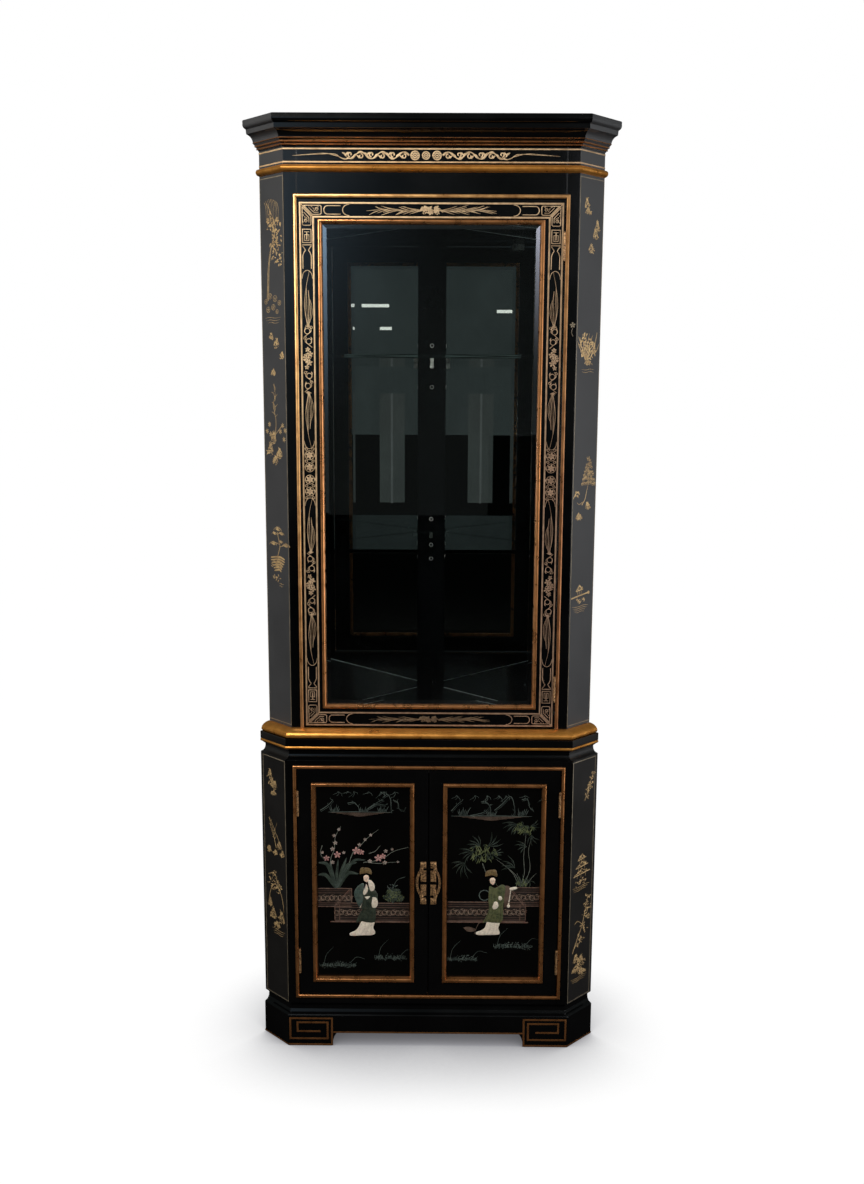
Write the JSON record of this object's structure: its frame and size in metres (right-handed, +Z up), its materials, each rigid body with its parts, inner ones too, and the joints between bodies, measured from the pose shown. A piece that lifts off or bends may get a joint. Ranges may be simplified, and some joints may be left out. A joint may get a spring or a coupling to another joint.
{
  "type": "corner curio cabinet",
  "caption": "Corner curio cabinet: a glazed, mirror-backed display case with glass shelves over a cupboard with paired panelled doors, on a plinth with bracket feet.",
  "frame": {"origin": "on the floor, midway between the front edge of the cornice and the corner of the back boards", "axes": "+X to the cabinet's left as it stands (the viewer's right), +Y towards the corner of the room, +Z up"},
  "size_m": [0.747, 0.4394, 1.945],
  "materials": {
    "black_lacquer": "gloss black lacquer with gold-painted ornament",
    "charcoal_lacquer": "satin charcoal lacquer with faded gold-painted borders and trees",
    "corner_paint": "semi-gloss black paint",
    "back_board": "unfinished dark board",
    "gilt": "worn gilding over a red-brown ground",
    "inlay_panel": "black lacquer panel with tinted soapstone-like inlay",
    "brass": "aged brass",
    "door_glass": "clear bevelled plate glass",
    "shelf_glass": "clear plate glass with greenish edges",
    "mirror": "silvered mirror glass",
    "steel": "plated steel"
  },
  "bodies": {
    "case": {"back_board_left": "back_board", "back_board_right": "back_board", "corner_post": "corner_paint", "cornice": "black_lacquer", "cupboard_catch": "steel", "cupboard_floor": "black_lacquer", "cupboard_shelf": "black_lacquer", "display_catch": "steel", "display_ceiling": "black_lacquer", "frieze_bead": "gilt", "frieze_rail": "black_lacquer", "glass_shelf_lower": "shelf_glass", "glass_shelf_upper": "shelf_glass", "left_door_bottom_hinge_frame_leaf": "brass", "left_door_top_hinge_frame_leaf": "brass", "lower_bottom_rail": "black_lacquer", "lower_cock_bead": "gilt", "lower_side_left": "charcoal_lacquer", "lower_side_right": "charcoal_lacquer", "lower_stile_left": "black_lacquer", "lower_stile_right": "black_lacquer", "lower_top_rail": "black_lacquer", "mirror_left": "mirror", "mirror_right": "mirror", "plinth": "black_lacquer", "right_door_bottom_hinge_frame_leaf": "brass", "right_door_top_hinge_frame_leaf": "brass", "shelf_pin_lower_left": "steel", "shelf_pin_lower_post": "steel", "shelf_pin_lower_right": "steel", "shelf_pin_upper_left": "steel", "shelf_pin_upper_post": "steel", "shelf_pin_upper_right": "steel", "upper_cock_bead": "gilt", "upper_door_bottom_hinge_frame_leaf": "brass", "upper_door_top_hinge_frame_leaf": "brass", "upper_side_left": "charcoal_lacquer", "upper_side_right": "charcoal_lacquer", "upper_stile_left": "black_lacquer", "upper_stile_right": "black_lacquer", "waist_board": "black_lacquer", "waist_moulding": "black_lacquer", "waist_nosing": "gilt"},
    "upper_door": {"upper_door_frame": "black_lacquer", "glass_moulding": "gilt", "door_glass": "door_glass", "upper_door_bottom_hinge_door_leaf": "brass", "upper_door_top_hinge_door_leaf": "brass"},
    "left_door": {"left_door_frame": "black_lacquer", "left_panel_bead": "gilt", "left_door_panel": "inlay_panel", "left_door_pull": "brass", "left_door_bottom_hinge_door_leaf": "brass", "left_door_top_hinge_door_leaf": "brass"},
    "right_door": {"right_door_frame": "black_lacquer", "right_panel_bead": "gilt", "right_door_panel": "inlay_panel", "right_door_pull": "brass", "right_door_bottom_hinge_door_leaf": "brass", "right_door_top_hinge_door_leaf": "brass"}
  },
  "joints": [
    {"name": "upper_door_swing", "type": "hinge", "parent": "case", "child": "upper_door", "pos_m": [0.2627, -0.18397, 1.254], "axis": [0, 0, 1], "range_deg": [0, 105]},
    {"name": "right_door_swing", "type": "hinge", "parent": "case", "child": "right_door", "pos_m": [0.2782, -0.20597, 0.3777], "axis": [0, 0, 1], "range_deg": [0, 105]},
    {"name": "left_door_swing", "type": "hinge", "parent": "case", "child": "left_door", "pos_m": [-0.2782, -0.20597, 0.3777], "axis": [0, 0, -1], "range_deg": [0, 105]}
  ]
}
